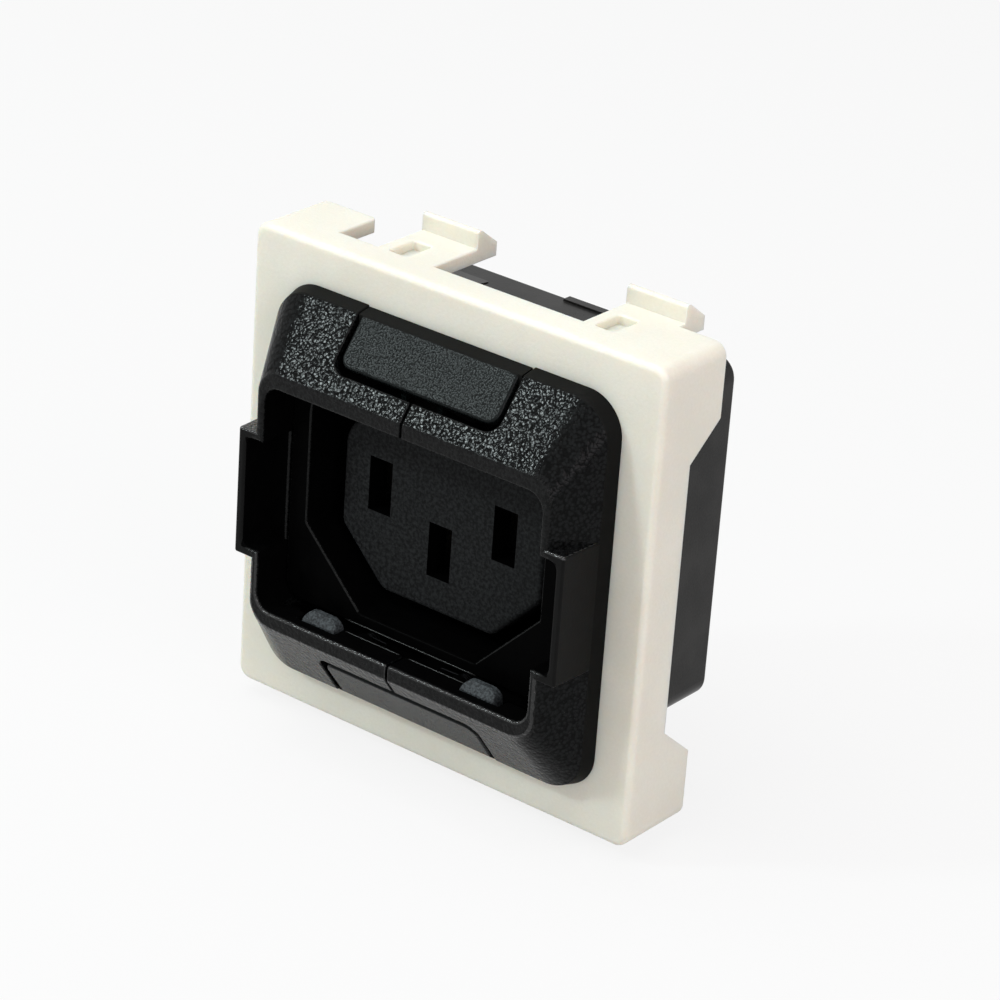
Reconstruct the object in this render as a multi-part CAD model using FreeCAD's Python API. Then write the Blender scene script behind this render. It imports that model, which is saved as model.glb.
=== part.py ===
"""Snap-in power module: a square ivory frame carrying a black appliance outlet with a locking collar.

Lengths are in millimetres. X is right, Z is up and the front faces -Y.
The origin is the middle of the frame plate's front face.
"""
import FreeCAD, Part
import math
import os

os.makedirs("parts", exist_ok=True)

# Ivory adapter frame
MODULE = 45.0                # side of the square plate, the standard module size
PLATE_CORNER = 1.3           # corner radius of the plate, seen from the front
PLATE_EDGE = 0.6             # rounding of the plate's front edge
PLATE_WALL = 2.0             # thickness of the front wall
RIM_WALL = 1.3               # thickness of the rim walls and clip tongues
TOP_DEPTH = 3.4              # depth of the top and bottom rim between the tongues
TOP_EDGE = 0.2               # rounding of the free edges of those rims and of the tongues
SIDE_DEPTH = 4.5             # depth of the side rims at mid height
CORNER_DEPTH = 8.5           # depth of the corner flanges
CORNER_HEIGHT = 6.6          # height of a corner flange at its free edge
CORNER_SLOPE = 3.25          # height over which the side rim slopes out to the flange
CORNER_ROUND = 0.6           # rounding of the left corner flange's free corner
LEFT_CORNER_WIDTH = 6.8
RIB_X = 14.85                # ribs that brace the seat of the outlet against the rim
CLIP_SHIFT = 3.1             # the pair of clips sits this far right of the middle
CLIP_WIDTH = 6.3
CLIP_POCKET = 2.1            # width of the blind pocket in a tongue
CLIP_POCKET_OFFSET = -0.9    # middle of the pocket from the middle of the clip
CLIP_POCKET_END = 6.8
CLIP_POCKET_CORNER = 0.35
CLIP_POCKET_DEPTH = 0.9
HOOK_CATCH = 9.3             # depth of the hook's catching face
HOOK_END = 12.0              # depth of the hook's tip
HOOK_HEIGHT = 1.6            # hook above the tongue
HOOK_CREST = 0.5             # flat on top of the hook
HOOK_EDGE = 0.3

# Black rear box and its front flange
BOX_HALF_X = 17.0
BOX_HALF_Z = 16.5
BOX_CORNER = 2.0
BOX_WALL = 1.2
BOX_END = 17.0               # depth where the box ends and the rear cover starts
BOX_PLAY = 0.35              # gap between the box and the hole in the frame
FLANGE_HALF = 17.85          # half width of the housing's front flange
FLANGE_THICK = 1.0
FLANGE_CORNER = 3.1
FLANGE_PLAY = 0.1            # gap between the flange and the collar's skirt
COVER_THICK = 1.4
COVER_EDGE = 0.4
COVER_LIP = 0.2              # raised lip on the cover's top edge, to lift it by
COVER_LIP_START = -1.4
COVER_LIP_DEPTH = 0.9
SNAP_ARM = (8.7, 13.7)       # sides of the springy arms in the box's top and bottom walls
SNAP_SLOT = 0.2              # slot that frees an arm from the wall
SNAP_LIFT = 1.0              # how far an arm's free end stands over the frame's hole
SNAP_FLAT = 0.6              # flat behind the free end
SNAP_PLAY = 0.05

# Collar in front of the plate
COLLAR_BASE_HALF = 18.6      # half width where the collar meets the plate
COLLAR_BAND_HALF = 18.3      # half width at the front of the smooth band
COLLAR_BAND_DEPTH = 1.5
COLLAR_CREASE = 0.3          # rounding where the slopes meet the band
COLLAR_DEPTH = 6.1           # how far the rim stands in front of the plate
COLLAR_CORNER = 3.7
COLLAR_WALL = 0.85           # shell thickness, square to the slope
RIM_HALF_X = 16.1
RIM_HALF_Z = 12.2
RIM_CORNER = 2.4
RIM_EDGE = 0.4
OPENING_HALF_X = 15.4
OPENING_HALF_Z = 10.75
OPENING_CORNER = 1.6
OPENING_EDGE = 0.3           # rounding of the opening's front edge
SIDE_WALL = 1.0              # the hollow behind the slopes ends this far inside the opening's sides
LIP_WALL = 0.6               # thickness of the lips that line the opening's top and bottom
LIP_DEPTH = 2.5              # depth of those lips behind the rim
LIP_EDGE = 0.12              # rounding of their back edges
SLIT = 0.25                  # joint between the two collar halves
SLIT_EDGE = 0.12             # rounding of the halves' edges along the joint
EAR_HALF_Z = 6.1
EAR_HALF_X = 18.1            # outside of an ear at the rim
EAR_WALL = 0.8
EAR_EDGE = 0.25
EAR_POCKET_DEPTH = 3.8
EAR_POCKET_EDGE = 0.8
EAR_STEP_EDGE = 0.2          # rounding of the step between a pocket and the opening
PEG_RADIUS = 0.6             # pegs that fix the collar halves to the flange
PEG_X = 16.55
PEG_Z = 9.0
PEG_PLAY = 0.03

# Release pads
WINDOW_HALF = 9.1            # half width of the pad's window in the collar
WINDOW_END_Z = 13.85         # height of the window's end on the slope
WINDOW_CORNER = 1.4
WINDOW_EDGE = 0.15           # rounding of the window's rim on the slope
PAD_EDGE = 0.25              # rounding round the pad's face
PAD_GAP = 0.45
PAD_END_GAP = 0.7            # gap at the end nearest the opening
PAD_BAND_GAP = 0.15          # narrower gap beside the pad on the smooth band
PAD_THICK = 1.0
PAD_SUNK = 0.08              # the pad's face sits this much below the collar
PAD_TRAVEL = 0.7
PAD_PLAY = 0.15              # room left round a pad that is pressed home
PAD_POST_X = 2.0             # middle of the post that presses on a latch
PAD_POST_WIDTH = 0.6
PAD_POST_GAP = 0.05
CHEEK_WIDTH = 1.0            # cheeks that carry the wings under the collar
WING_THICK = 0.85
WING_HEIGHT = 1.1
WING_REACH = 0.9             # how far a wing reaches under the collar
WING_PLAY = 0.1

# Latches with their pins and springs
TOOTH_X = 9.05
TOOTH_ARM = 3.65             # from the pivot to the middle of the tooth
LATCH_THICK = 1.1            # thickness of the latch arm along the depth
LATCH_PLAY = 0.1             # gap between the arm and the lip's back edge
ARM_RISE = 1.0               # top of the arm's inner end above the pivot
ARM_END_HEIGHT = 0.8         # height of the arm at its inner end
ARM_HALF = 0.7               # half height of the arm at the pivot
ARM_TIP_RISE = 0.3           # top of the arm's outer end above the pivot
ARM_END_REACH = 0.5          # the arm reaches this far past the middle of the post
BOSS_WALL = 0.5              # wall round the pin's hole in the latch
TOOTH_WIDTH = 3.7
TOOTH_TIP_Z = 9.85           # distance of the tooth's tip from the middle of the opening
TOOTH_LENGTH = 1.25          # tooth in front of the lip's back edge
TOOTH_RAMP = 0.7             # depth of the ramp that lets a plug slide in
TOOTH_CORNER = 0.9
TOOTH_EDGE = 0.12            # rounding round the ramp
TOOTH_NECK = 0.2             # the neck stops this far in front of the arm's back
NOTCH_INNER_PLAY = 0.25
NOTCH_OUTER_PLAY = 0.7
PIN_RADIUS = 0.45
PIN_PLAY = 0.05              # running clearance between latch and pin
PIN_END = 1.6                # depth of the pin's back end
PIN_HEAD = 0.15              # how much wider the head is, all round
PIN_HEAD_THICK = 0.25
PIN_HEAD_PLAY = 0.03
PIN_LIP_PLAY = 0.05          # gap between the pin's head and the lip
PIN_BOSS_WALL = 0.9
PRESS_PLAY = 0.01            # gap of a pressed or screwed joint
SPRING_WIRE = 0.11           # radius of the spring wire
SPRING_COIL = 0.74           # radius of the coil's centre line
SPRING_TURNS = 3
SPRING_LEG = 2.8             # length of the leg that rests on the housing
SPRING_FOOT_SHIFT = 0.9      # the other leg ends this far outside the pad's post
SPRING_PLAY = 0.05           # gap from the ends of the legs to the latch and the flange
LEG_REST = (-0.6, 0.2)       # ends of the rest, measured from the end of the spring's leg
LEG_REST_DEPTH = 0.6
LEG_PLAY = 0.02

# Outlet block and its contacts
TUBE_HALF_X = 15.3           # outside of the tube round the plug's shroud
TUBE_HALF_Z = 10.6
TUBE_FRONT = -2.2
TUBE_EDGE = 0.2
TUBE_END = 15.5
RECESS_HALF_X = 13.2         # inside of the tube
RECESS_HALF_Z = 9.5
RECESS_CHAMFER = 6.65
RECESS_CORNER = 1.5
RECESS_KEY_ROUND = 0.5       # rounding at the ends of the slanted corners
CORE_HALF_X = 11.25
CORE_HALF_Z = 7.85
CORE_CHAMFER = 5.0           # slanted lower corners that key the plug
CORE_KEY_ROUND = 1.4
CORE_CORNER = 3.0
CORE_EDGE = 0.45
CORE_FACE = 0.3              # depth of the block's front face
CORE_END_PLAY = 1.0          # the block stops this far short of the rear cover
CORE_BASE_INSET = 0.3        # the base is this much smaller than the tube, all round
POLE_X = 7.0                 # sideways distance of the two outer poles from the middle
POLE_Z = 2.0                 # the outer poles sit this high, earth this low
SLOT_WIDTH = 2.55
SLOT_HEIGHT = 5.15
SLOT_DEPTH = 2.4             # wall between the block's face and the contact chambers
CHAMBER_WIDTH = 4.2
CHAMBER_HEIGHT = 7.0
CONTACT_SHEET = 0.5
CONTACT_PLAY = 0.15          # gap between a contact and its chamber
CONTACT_HALF_HEIGHT = 2.2
CONTACT_BACK = 0.95          # the web sits this far in front of the rear cover
CONTACT_PINCH = 0.85         # half the gap between the two leaves where they pinch
CONTACT_MOUTH = 2.6          # the leaves start this far behind the slot's wall
CONTACT_FLARE = 2.2          # depth of the flared mouth
CONTACT_STRAIGHT = 4.0       # straight part of a leaf in front of the web
TAB_THICK = 0.8
TAB_WIDTH = 6.3
TAB_END = 26.5
TAB_CORNER = 1.0
TAB_EYE_RADIUS = 0.85
TAB_EYE_FROM_END = 3.2
TAB_PLAY = 0.15

# Rear cover screws
SCREW_X = 14.0
SCREW_Z = 13.2
SCREW_RADIUS = 1.0
SCREW_LENGTH = 8.0           # depth of the hole
SCREW_TIP_PLAY = 0.5
SCREW_HEAD = 1.9
SCREW_HEAD_DEPTH = 1.0
SCREW_HEAD_PLAY = 0.02
SCREW_BOSS = 2.0
CROSS_LENGTH = 2.0           # cross recess in the head
CROSS_WIDTH = 0.4
CROSS_DEPTH = 0.6

# Values that follow from the sizes above
HALF = MODULE / 2
CLIP_PITCH = MODULE / 2
CLIP_LEFT = CLIP_SHIFT - CLIP_PITCH / 2
CLIP_RIGHT = CLIP_SHIFT + CLIP_PITCH / 2
LEFT_CORNER_END = LEFT_CORNER_WIDTH - HALF
COVER_END = BOX_END + COVER_THICK
SLOPE = (COLLAR_BAND_HALF - RIM_HALF_Z) / (COLLAR_DEPTH - COLLAR_BAND_DEPTH)
SLOPE_LENGTH = math.hypot(1, SLOPE)
RIM_FRONT = -COLLAR_DEPTH
LIP_BACK = RIM_FRONT + LIP_DEPTH
LIP_OUTSIDE = OPENING_HALF_Z + LIP_WALL
LATCH_FRONT = LIP_BACK + LATCH_PLAY
LATCH_BACK = LATCH_FRONT + LATCH_THICK
LATCH_PIVOT_X = TOOTH_X - TOOTH_ARM
LATCH_PIVOT_Z = LIP_OUTSIDE + PIN_RADIUS + PIN_HEAD + PIN_LIP_PLAY
ARM_TOP = LATCH_PIVOT_Z + ARM_RISE
TOOTH_FRONT = LIP_BACK - TOOTH_LENGTH
TOOTH_INNER = TOOTH_X - TOOTH_WIDTH / 2
TOOTH_OUTER = TOOTH_X + TOOTH_WIDTH / 2
POLES = {"left": (-POLE_X, POLE_Z), "right": (POLE_X, POLE_Z), "earth": (0.0, -POLE_Z)}
FAR = 60.0                   # longer than anything here, for cutting tools
BITE = 0.3                   # how far one shape reaches into the next when they are joined
SMALL = 0.01                 # tolerance for picking edges


def vec(x, y, z):
    return FreeCAD.Vector(x, y, z)


def box(x, y, z):
    """Box between two X, two Y and two Z values, each given as a pair."""
    return Part.makeBox(x[1] - x[0], y[1] - y[0], z[1] - z[0], vec(x[0], y[0], z[0]))


def rod(x, z, radius, y):
    """Round bar along Y between two depths."""
    return Part.makeCylinder(radius, y[1] - y[0], vec(x, y[0], z), vec(0, 1, 0))


def rounded_wire(half_x, half_z, radius, y):
    """Rectangle with rounded corners, square to Y, as a closed wire."""
    corners = [(1, 1), (-1, 1), (-1, -1), (1, -1)]
    edges = []
    last = vec(half_x, y, radius - half_z)
    for number, (sx, sz) in enumerate(corners):
        middle = vec(sx * (half_x - radius), y, sz * (half_z - radius))
        start = number * math.pi / 2
        rim = [middle + vec(radius * math.cos(a), 0, radius * math.sin(a))
               for a in (start, start + math.pi / 4, start + math.pi / 2)]
        edges.append(Part.makeLine(last, rim[0]))
        edges.append(Part.Arc(*rim).toShape())
        last = rim[2]
    return Part.Wire(edges)


def slab(half_x, half_z, radius, y):
    """Block with rounded corners between two depths."""
    face = Part.Face(rounded_wire(half_x, half_z, radius, y[0]))
    return face.extrude(vec(0, y[1] - y[0], 0))


def prism_x(points, x):
    """Outline of (Y, Z) points drawn out between two X values."""
    corners = [vec(x[0], py, pz) for py, pz in points]
    return Part.Face(Part.makePolygon(corners + corners[:1])).extrude(vec(x[1] - x[0], 0, 0))


def prism_y(points, y):
    """Outline of (X, Z) points drawn out between two depths."""
    corners = [vec(px, y[0], pz) for px, pz in points]
    return Part.Face(Part.makePolygon(corners + corners[:1])).extrude(vec(0, y[1] - y[0], 0))


def prism_z(points, z):
    """Outline of (X, Y) points drawn out between two heights."""
    corners = [vec(px, py, z[0]) for px, py in points]
    return Part.Face(Part.makePolygon(corners + corners[:1])).extrude(vec(0, 0, z[1] - z[0]))


def flip_x(shape):
    """The same shape on the other side, left for right."""
    return shape.mirror(vec(0, 0, 0), vec(1, 0, 0))


def flip_z(shape):
    """The same shape on the other side, top for bottom."""
    return shape.mirror(vec(0, 0, 0), vec(0, 0, 1))


def both_x(shape):
    return [shape, flip_x(shape)]


def both_z(shape):
    return [shape, flip_z(shape)]


def four_ways(shape):
    return both_z(shape) + both_z(flip_x(shape))


def round_edges(shape, radius, chosen):
    """Round the edges whose middle passes the test."""
    return shape.makeFillet(radius, [edge for edge in shape.Edges if chosen(edge.CenterOfMass)])


def join(shapes):
    return shapes[0].fuse(shapes[1:]).removeSplitter()


def slope_z(y, inset=0.0):
    """Height of the collar's top slope at a depth, lowered square to the slope by an inset."""
    return COLLAR_BAND_HALF + (y + COLLAR_BAND_DEPTH) * SLOPE - inset * SLOPE_LENGTH


def slope_y(z):
    """Depth of the collar's top slope at a height."""
    return (z - COLLAR_BAND_HALF) / SLOPE - COLLAR_BAND_DEPTH


def frame_clip(middle):
    """One clip: a flat tongue that ends in a hook with a ramp behind it."""
    root = PLATE_WALL / 2
    crest = HALF + HOOK_HEIGHT
    outline = [(root, HALF - RIM_WALL), (HOOK_END, HALF - RIM_WALL), (HOOK_END, HALF),
               (HOOK_CATCH + HOOK_CREST, crest), (HOOK_CATCH, crest), (HOOK_CATCH, HALF), (root, HALF)]
    clip = prism_x(outline, (middle - CLIP_WIDTH / 2, middle + CLIP_WIDTH / 2))
    return round_edges(clip, HOOK_EDGE, lambda p: p.z > crest - SMALL and abs(p.x - middle) < SMALL)


def through_top_rim(x, y):
    """Cutting block through the top rim between two X values and two depths."""
    return box(x, y, (HALF - 2 * RIM_WALL, HALF + RIM_WALL))


def frame_top_gaps():
    """The open stretches of the top rim on both sides of the left clip."""
    left = (LEFT_CORNER_END, CLIP_LEFT - CLIP_WIDTH / 2)
    middle = (CLIP_LEFT + CLIP_WIDTH / 2, CLIP_RIGHT - CLIP_WIDTH / 2)
    return [through_top_rim(gap, (TOP_DEPTH, FAR)) for gap in (left, middle)]


def frame_pocket(clip_middle):
    """Cutting block for the blind pocket at the root of a tongue."""
    middle = clip_middle + CLIP_POCKET_OFFSET
    block = through_top_rim((middle - CLIP_POCKET / 2, middle + CLIP_POCKET / 2), (TOP_DEPTH, CLIP_POCKET_END))
    block = round_edges(block, CLIP_POCKET_CORNER, lambda p: abs(p.z - HALF + RIM_WALL / 2) < SMALL)
    block.translate(vec(0, 0, 2 * RIM_WALL - CLIP_POCKET_DEPTH))
    return block


def frame_side_gap():
    """Block that cuts the side rims back between the sloping corner flanges."""
    low = HALF - CORNER_HEIGHT - CORNER_SLOPE
    beyond = CORNER_DEPTH + RIM_WALL
    high = low + CORNER_SLOPE * (beyond - SIDE_DEPTH) / (CORNER_DEPTH - SIDE_DEPTH)
    return prism_x([(SIDE_DEPTH, -low), (SIDE_DEPTH, low), (beyond, high), (beyond, -high)], (-FAR, FAR))


def frame_rims():
    """Plate and rim walls, with the gaps between corner flanges and clips."""
    outer = slab(HALF, HALF, PLATE_CORNER, (0, CORNER_DEPTH))
    outer = round_edges(outer, PLATE_EDGE, lambda p: abs(p.y) < SMALL)
    inner = slab(HALF - RIM_WALL, HALF - RIM_WALL, PLATE_CORNER / 2, (PLATE_WALL, FAR))
    rims = outer.cut([inner, frame_side_gap()])
    for gap in frame_top_gaps():
        rims = rims.cut(both_z(gap))
    return round_edges(rims, CORNER_ROUND,
                       lambda p: abs(p.x - LEFT_CORNER_END) < SMALL and abs(p.y - CORNER_DEPTH) < SMALL)


def on_rim_top(point):
    """True for a point on the free edges of the top or bottom rim, in front of the hooks."""
    on_face = abs(point.x) < HALF - PLATE_CORNER - SMALL and abs(abs(point.z) - HALF) < SMALL
    return on_face and PLATE_WALL < point.y < HOOK_CATCH - SMALL


def adapter_frame():
    """Plate with rim walls, corner flanges, four clips and the hole that takes the outlet."""
    hole_x = BOX_HALF_X + BOX_PLAY
    hole_z = BOX_HALF_Z + BOX_PLAY
    seat_depth = (PLATE_WALL / 2, TOP_DEPTH)
    seat = slab(hole_x + RIM_WALL, hole_z + RIM_WALL, BOX_CORNER + RIM_WALL, seat_depth)
    rib = box((RIB_X, RIB_X + RIM_WALL), seat_depth, (hole_z, HALF - RIM_WALL / 2))
    clips = both_z(frame_clip(CLIP_LEFT)) + both_z(frame_clip(CLIP_RIGHT))
    frame = join([frame_rims(), seat] + four_ways(rib) + clips)
    frame = frame.cut(slab(hole_x, hole_z, BOX_CORNER, (-1, FAR)))
    frame = frame.cut(both_z(frame_pocket(CLIP_LEFT)) + both_z(frame_pocket(CLIP_RIGHT)))
    return round_edges(frame, TOP_EDGE, on_rim_top)


def collar_outer():
    """Solid outline of the collar: a short straight band, then four slopes up to the rim."""
    wires = [rounded_wire(COLLAR_BASE_HALF, COLLAR_BASE_HALF, COLLAR_CORNER, 0),
             rounded_wire(COLLAR_BAND_HALF, COLLAR_BAND_HALF, COLLAR_CORNER, -COLLAR_BAND_DEPTH),
             rounded_wire(RIM_HALF_X, RIM_HALF_Z, RIM_CORNER, RIM_FRONT)]
    solid = Part.makeLoft(wires, True, True)
    solid = round_edges(solid, COLLAR_CREASE, lambda p: abs(p.y + COLLAR_BAND_DEPTH) < SMALL)
    return round_edges(solid, RIM_EDGE, lambda p: p.y < RIM_FRONT + SMALL)


def collar_ear():
    """Straight-sided block at the side of the rim that makes room for a pocket inside."""
    inner = OPENING_HALF_X - EAR_WALL
    foot = -COLLAR_BAND_DEPTH
    outline = [(inner, foot + BITE), (COLLAR_BAND_HALF, foot + BITE), (COLLAR_BAND_HALF, foot),
               (EAR_HALF_X, RIM_FRONT), (inner, RIM_FRONT)]
    ear = prism_z(outline, (-EAR_HALF_Z, EAR_HALF_Z))
    return round_edges(ear, EAR_EDGE, lambda p: p.y < RIM_FRONT / 2 and p.x > (inner + EAR_HALF_X) / 2 - SMALL)


def collar_ear_pocket():
    """Hollow behind an ear, open to the front and to the cavity."""
    reach = EAR_HALF_X - EAR_WALL
    height = EAR_HALF_Z - EAR_WALL
    pocket = box((OPENING_HALF_X - 1, reach), (RIM_FRONT - 1, RIM_FRONT + EAR_POCKET_DEPTH), (-height, height))
    return round_edges(pocket, EAR_POCKET_EDGE, lambda p: p.x > reach - SMALL and abs(p.z) > height - SMALL)


def slope_window(half, end_z, corner):
    """Cutting block over the top slope, with an end square to the slope and rounded end corners."""
    normal = (-SLOPE / SLOPE_LENGTH, 1 / SLOPE_LENGTH)
    end_y = slope_y(end_z)
    above = 3 * PAD_THICK
    below = 2 * COLLAR_WALL
    high = (end_y + above * normal[0], end_z + above * normal[1])
    low = (end_y - below * normal[0], end_z - below * normal[1])
    block = prism_x([high, low, (1, low[1]), (1, FAR), (high[0], FAR)], (-half, half))
    end_middle = vec(half, (high[0] + low[0]) / 2, (high[1] + low[1]) / 2)
    return round_edges(block, corner, lambda p: (vec(abs(p.x), p.y, p.z) - end_middle).Length < SMALL)


def latch_notch():
    """Notch in a lip's back edge that a tooth stands up through."""
    sides = (TOOTH_INNER - NOTCH_INNER_PLAY, TOOTH_OUTER + NOTCH_OUTER_PLAY)
    return box(sides, (TOOTH_FRONT - LATCH_PLAY, LIP_BACK + BITE), (OPENING_HALF_Z - 1, LIP_OUTSIDE + BITE))


def on_opening_edge(point):
    """True for a point on the front edge of the opening or of an ear pocket."""
    in_opening = abs(point.x) < OPENING_HALF_X + SMALL and abs(point.z) < OPENING_HALF_Z + SMALL
    in_pocket = abs(point.x) < EAR_HALF_X - EAR_WALL + SMALL and abs(point.z) < EAR_HALF_Z - EAR_WALL + SMALL
    return abs(point.y - RIM_FRONT) < SMALL and (in_opening or in_pocket)


def on_slope(point, sunk=0.0):
    """True for a point on the top or bottom slope, or on one that is lowered along Z."""
    in_front_of_crease = point.y < -COLLAR_BAND_DEPTH - COLLAR_CREASE
    return in_front_of_crease and abs(abs(point.z) - slope_z(point.y) + sunk) < SMALL


def on_window_edge(point):
    """True for a point on the rim of a pad's window."""
    in_window = abs(point.x) < WINDOW_HALF + SMALL and abs(point.z) > WINDOW_END_Z - SMALL
    return in_window and on_slope(point)


def on_pocket_step(point):
    """True for a point on the edge between an ear pocket's floor and the side of the opening."""
    at_floor = abs(point.y - RIM_FRONT - EAR_POCKET_DEPTH) < SMALL
    return at_floor and abs(abs(point.x) - OPENING_HALF_X) < SMALL and abs(point.z) < SMALL


def on_lip_back(point):
    """True for a point on the back edge of a lip, on the side of the opening."""
    return abs(point.y - LIP_BACK) < SMALL and abs(abs(point.z) - OPENING_HALF_Z) < SMALL


def collar_hollows():
    """The spaces behind the collar: the flange's seat, the room behind the top slope and behind its lip."""
    back = -FLANGE_THICK
    seat_half = FLANGE_HALF + FLANGE_PLAY
    seat = slab(seat_half, seat_half, FLANGE_CORNER, (back, 1))
    sides = (SIDE_WALL - OPENING_HALF_X, OPENING_HALF_X - SIDE_WALL)
    top = slope_z(back, COLLAR_WALL)
    tip = back + (LIP_OUTSIDE - top) / SLOPE
    behind_slope = prism_x([(back, LIP_OUTSIDE), (back, top), (tip, LIP_OUTSIDE)], sides)
    behind_lip = box(sides, (LIP_BACK, back), (0, LIP_OUTSIDE + SMALL))
    return [seat] + both_z(behind_slope) + both_z(behind_lip)


def collar():
    """Both collar halves in one: shell, rim, ears, lips and the pegs at the back."""
    shell = join([collar_outer()] + both_x(collar_ear()))
    opening = slab(OPENING_HALF_X, OPENING_HALF_Z, OPENING_CORNER, (RIM_FRONT - 1, 1))
    shell = shell.cut([opening] + both_x(collar_ear_pocket()))
    shell = round_edges(shell, OPENING_EDGE, on_opening_edge)
    shell = round_edges(shell, EAR_STEP_EDGE, on_pocket_step)
    window = slope_window(WINDOW_HALF, WINDOW_END_Z, WINDOW_CORNER)
    shell = shell.cut(both_z(window))
    shell = round_edges(shell, WINDOW_EDGE, on_window_edge)
    for tool in collar_hollows() + four_ways(latch_notch()):
        shell = shell.cut(tool)
    shell = round_edges(shell, LIP_EDGE, on_lip_back)
    peg = rod(PEG_X, PEG_Z, PEG_RADIUS, (-FLANGE_THICK - BITE, -FLANGE_PLAY))
    return join([shell] + four_ways(peg))


def collar_half(whole, side):
    """Left half for side -1, right half for side 1, parted by the slit."""
    keep = (SLIT / 2, FAR) if side > 0 else (-FAR, -SLIT / 2)
    half = whole.common(box(keep, (-FAR, FAR), (-FAR, FAR)))
    return round_edges(half, SLIT_EDGE, lambda p: abs(p.x) < SLIT / 2 + SMALL and on_slope(p))


def pad_plate(half):
    """The pad's outer plate, which follows the band and the slope of the collar."""
    end_z = WINDOW_END_Z + PAD_END_GAP * SLOPE / SLOPE_LENGTH
    outer = collar_outer()
    outer.translate(vec(0, 0, -PAD_SUNK))
    plate = outer.common(slope_window(half, end_z, WINDOW_CORNER - PAD_GAP / 2))
    plate = plate.common(box((-FAR, FAR), (-FAR, -PAD_SUNK), (-FAR, FAR)))
    plate = round_edges(plate, PAD_EDGE, lambda p: on_slope(p, PAD_SUNK))
    foot = slope_z(-COLLAR_BAND_DEPTH, PAD_THICK)
    band_half = WINDOW_HALF - PAD_BAND_GAP
    band = outer.common(box((-band_half, band_half), (-COLLAR_BAND_DEPTH, -PAD_SUNK), (foot, FAR)))
    plate = join([plate, band])
    below = [(1, 0), (1, foot), (-COLLAR_BAND_DEPTH, foot), (RIM_FRONT, slope_z(RIM_FRONT, PAD_THICK)),
             (RIM_FRONT, 0)]
    return plate.cut(prism_x(below, (-FAR, FAR)))


def release_pad_top():
    """Pad in the top slope, with cheeks and wings that keep it in and two posts that press the latches."""
    half = WINDOW_HALF - PAD_GAP
    wing_back = -FLANGE_THICK - WING_PLAY
    wing_depth = (wing_back - WING_THICK, wing_back)
    wing_top = slope_z(wing_depth[0], COLLAR_WALL) - WING_PLAY
    wing_low = wing_top - WING_HEIGHT
    cheek_top = slope_z(-COLLAR_BAND_DEPTH, PAD_THICK) + BITE
    cheek = box((half - CHEEK_WIDTH, half), wing_depth, (wing_low, cheek_top))
    wing = box((half - CHEEK_WIDTH, WINDOW_HALF + WING_REACH), wing_depth, (wing_low, wing_top))
    post_sides = (PAD_POST_X - PAD_POST_WIDTH / 2, PAD_POST_X + PAD_POST_WIDTH / 2)
    post_top = slope_z(LATCH_FRONT, PAD_THICK / 2)
    post = box(post_sides, (LATCH_FRONT + LATCH_PLAY, LATCH_BACK), (ARM_TOP + PAD_POST_GAP, post_top))
    return join([pad_plate(half)] + both_x(cheek) + both_x(wing) + both_x(post))


def latch_tooth():
    """Tooth with a ramp in front and round corners, on a neck that reaches back to the arm."""
    neck_back = LATCH_BACK - TOOTH_NECK
    neck_top = LATCH_PIVOT_Z + TOOTH_NECK
    outline = [(TOOTH_FRONT, OPENING_HALF_Z + 2 * LATCH_PLAY), (TOOTH_FRONT, OPENING_HALF_Z - LATCH_PLAY),
               (TOOTH_FRONT + TOOTH_RAMP, TOOTH_TIP_Z), (LIP_BACK, TOOTH_TIP_Z),
               (LATCH_FRONT + LATCH_PLAY, LIP_OUTSIDE - LATCH_PLAY), (neck_back, LIP_OUTSIDE),
               (neck_back, neck_top), (LIP_BACK, neck_top), (TOOTH_FRONT + TOOTH_RAMP, LATCH_PIVOT_Z)]
    block = prism_x(outline, (TOOTH_INNER, TOOTH_OUTER))
    half_height = LATCH_PIVOT_Z - TOOTH_TIP_Z
    front_view = slab(TOOTH_WIDTH / 2, half_height, TOOTH_CORNER, (TOOTH_FRONT - 1, 0))
    front_view.translate(vec(TOOTH_X, 0, TOOTH_TIP_Z + half_height))
    ramp = (TOOTH_FRONT + SMALL, TOOTH_FRONT + TOOTH_RAMP + SMALL)
    tooth = block.common(front_view)
    return round_edges(tooth, TOOTH_EDGE, lambda p: ramp[0] < p.y < ramp[1] and p.z < OPENING_HALF_Z)


def latch_top_right():
    """Rocking lever: the pad presses its inner end down and the tooth at its outer end lifts."""
    inner = PAD_POST_X - ARM_END_REACH
    flat_end = PAD_POST_X + ARM_END_REACH
    low = LATCH_PIVOT_Z - ARM_HALF
    outline = [(inner, ARM_TOP - ARM_END_HEIGHT), (inner, ARM_TOP), (flat_end, ARM_TOP),
               (LATCH_PIVOT_X, LATCH_PIVOT_Z + ARM_HALF), (TOOTH_OUTER, LATCH_PIVOT_Z + ARM_TIP_RISE),
               (TOOTH_OUTER, LIP_OUTSIDE), (TOOTH_INNER, LIP_OUTSIDE), (LATCH_PIVOT_X, low)]
    depth = (LATCH_FRONT, LATCH_BACK)
    boss = rod(LATCH_PIVOT_X, LATCH_PIVOT_Z, PIN_RADIUS + PIN_PLAY + BOSS_WALL, depth)
    latch = join([prism_y(outline, depth), boss, latch_tooth()])
    return latch.cut(rod(LATCH_PIVOT_X, LATCH_PIVOT_Z, PIN_RADIUS + PIN_PLAY, (-FAR, FAR)))


def latch_pin():
    """Headed steel pin along Y, pressed into the housing flange."""
    head_back = LATCH_FRONT - PIN_HEAD_PLAY
    shank = rod(LATCH_PIVOT_X, LATCH_PIVOT_Z, PIN_RADIUS, (head_back, PIN_END))
    head = rod(LATCH_PIVOT_X, LATCH_PIVOT_Z, PIN_RADIUS + PIN_HEAD, (head_back - PIN_HEAD_THICK, head_back))
    return join([shank, head])


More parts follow.
